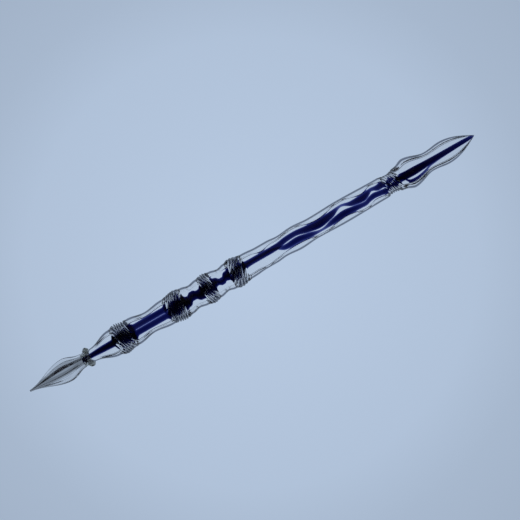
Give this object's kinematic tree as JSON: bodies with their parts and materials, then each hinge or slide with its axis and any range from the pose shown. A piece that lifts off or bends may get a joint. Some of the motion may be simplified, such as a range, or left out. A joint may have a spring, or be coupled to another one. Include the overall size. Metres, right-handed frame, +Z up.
{
  "type": "dip pen",
  "caption": "Lampworked glass dip pen lying on its side: fluted nib, ribbed clear body with twisted knots over a navy core, pointed finial.",
  "frame": {"origin": "on the resting plane, under the middle of the pen", "axes": "+X along the pen from the nib's point towards the finial's tip, +Z up from the surface the pen lies on"},
  "size_m": [0.175, 0.0112, 0.0109],
  "materials": {
    "clear_glass": "polished",
    "nib_glass": "polished",
    "navy_glass": "polished",
    "collar_glass": "polished"
  },
  "bodies": {
    "root": {"nib": "nib_glass", "collar_thread": "collar_glass", "collar_wrap": "collar_glass", "neck_casing": "clear_glass", "neck_core": "navy_glass", "knot_1_casing": "clear_glass", "knot_1_core": "navy_glass", "grip_casing": "clear_glass", "grip_core": "navy_glass", "knot_2_casing": "clear_glass", "knot_2_core": "navy_glass", "link_1_casing": "clear_glass", "link_1_core": "navy_glass", "knot_3_casing": "clear_glass", "knot_3_core": "navy_glass", "link_2_casing": "clear_glass", "link_2_core": "navy_glass", "knot_4_casing": "clear_glass", "knot_4_core": "navy_glass", "shaft_casing": "clear_glass", "shaft_core": "navy_glass", "knot_5_casing": "clear_glass", "knot_5_core": "navy_glass", "finial_casing": "clear_glass", "finial_core": "navy_glass"}
  },
  "joints": []
}
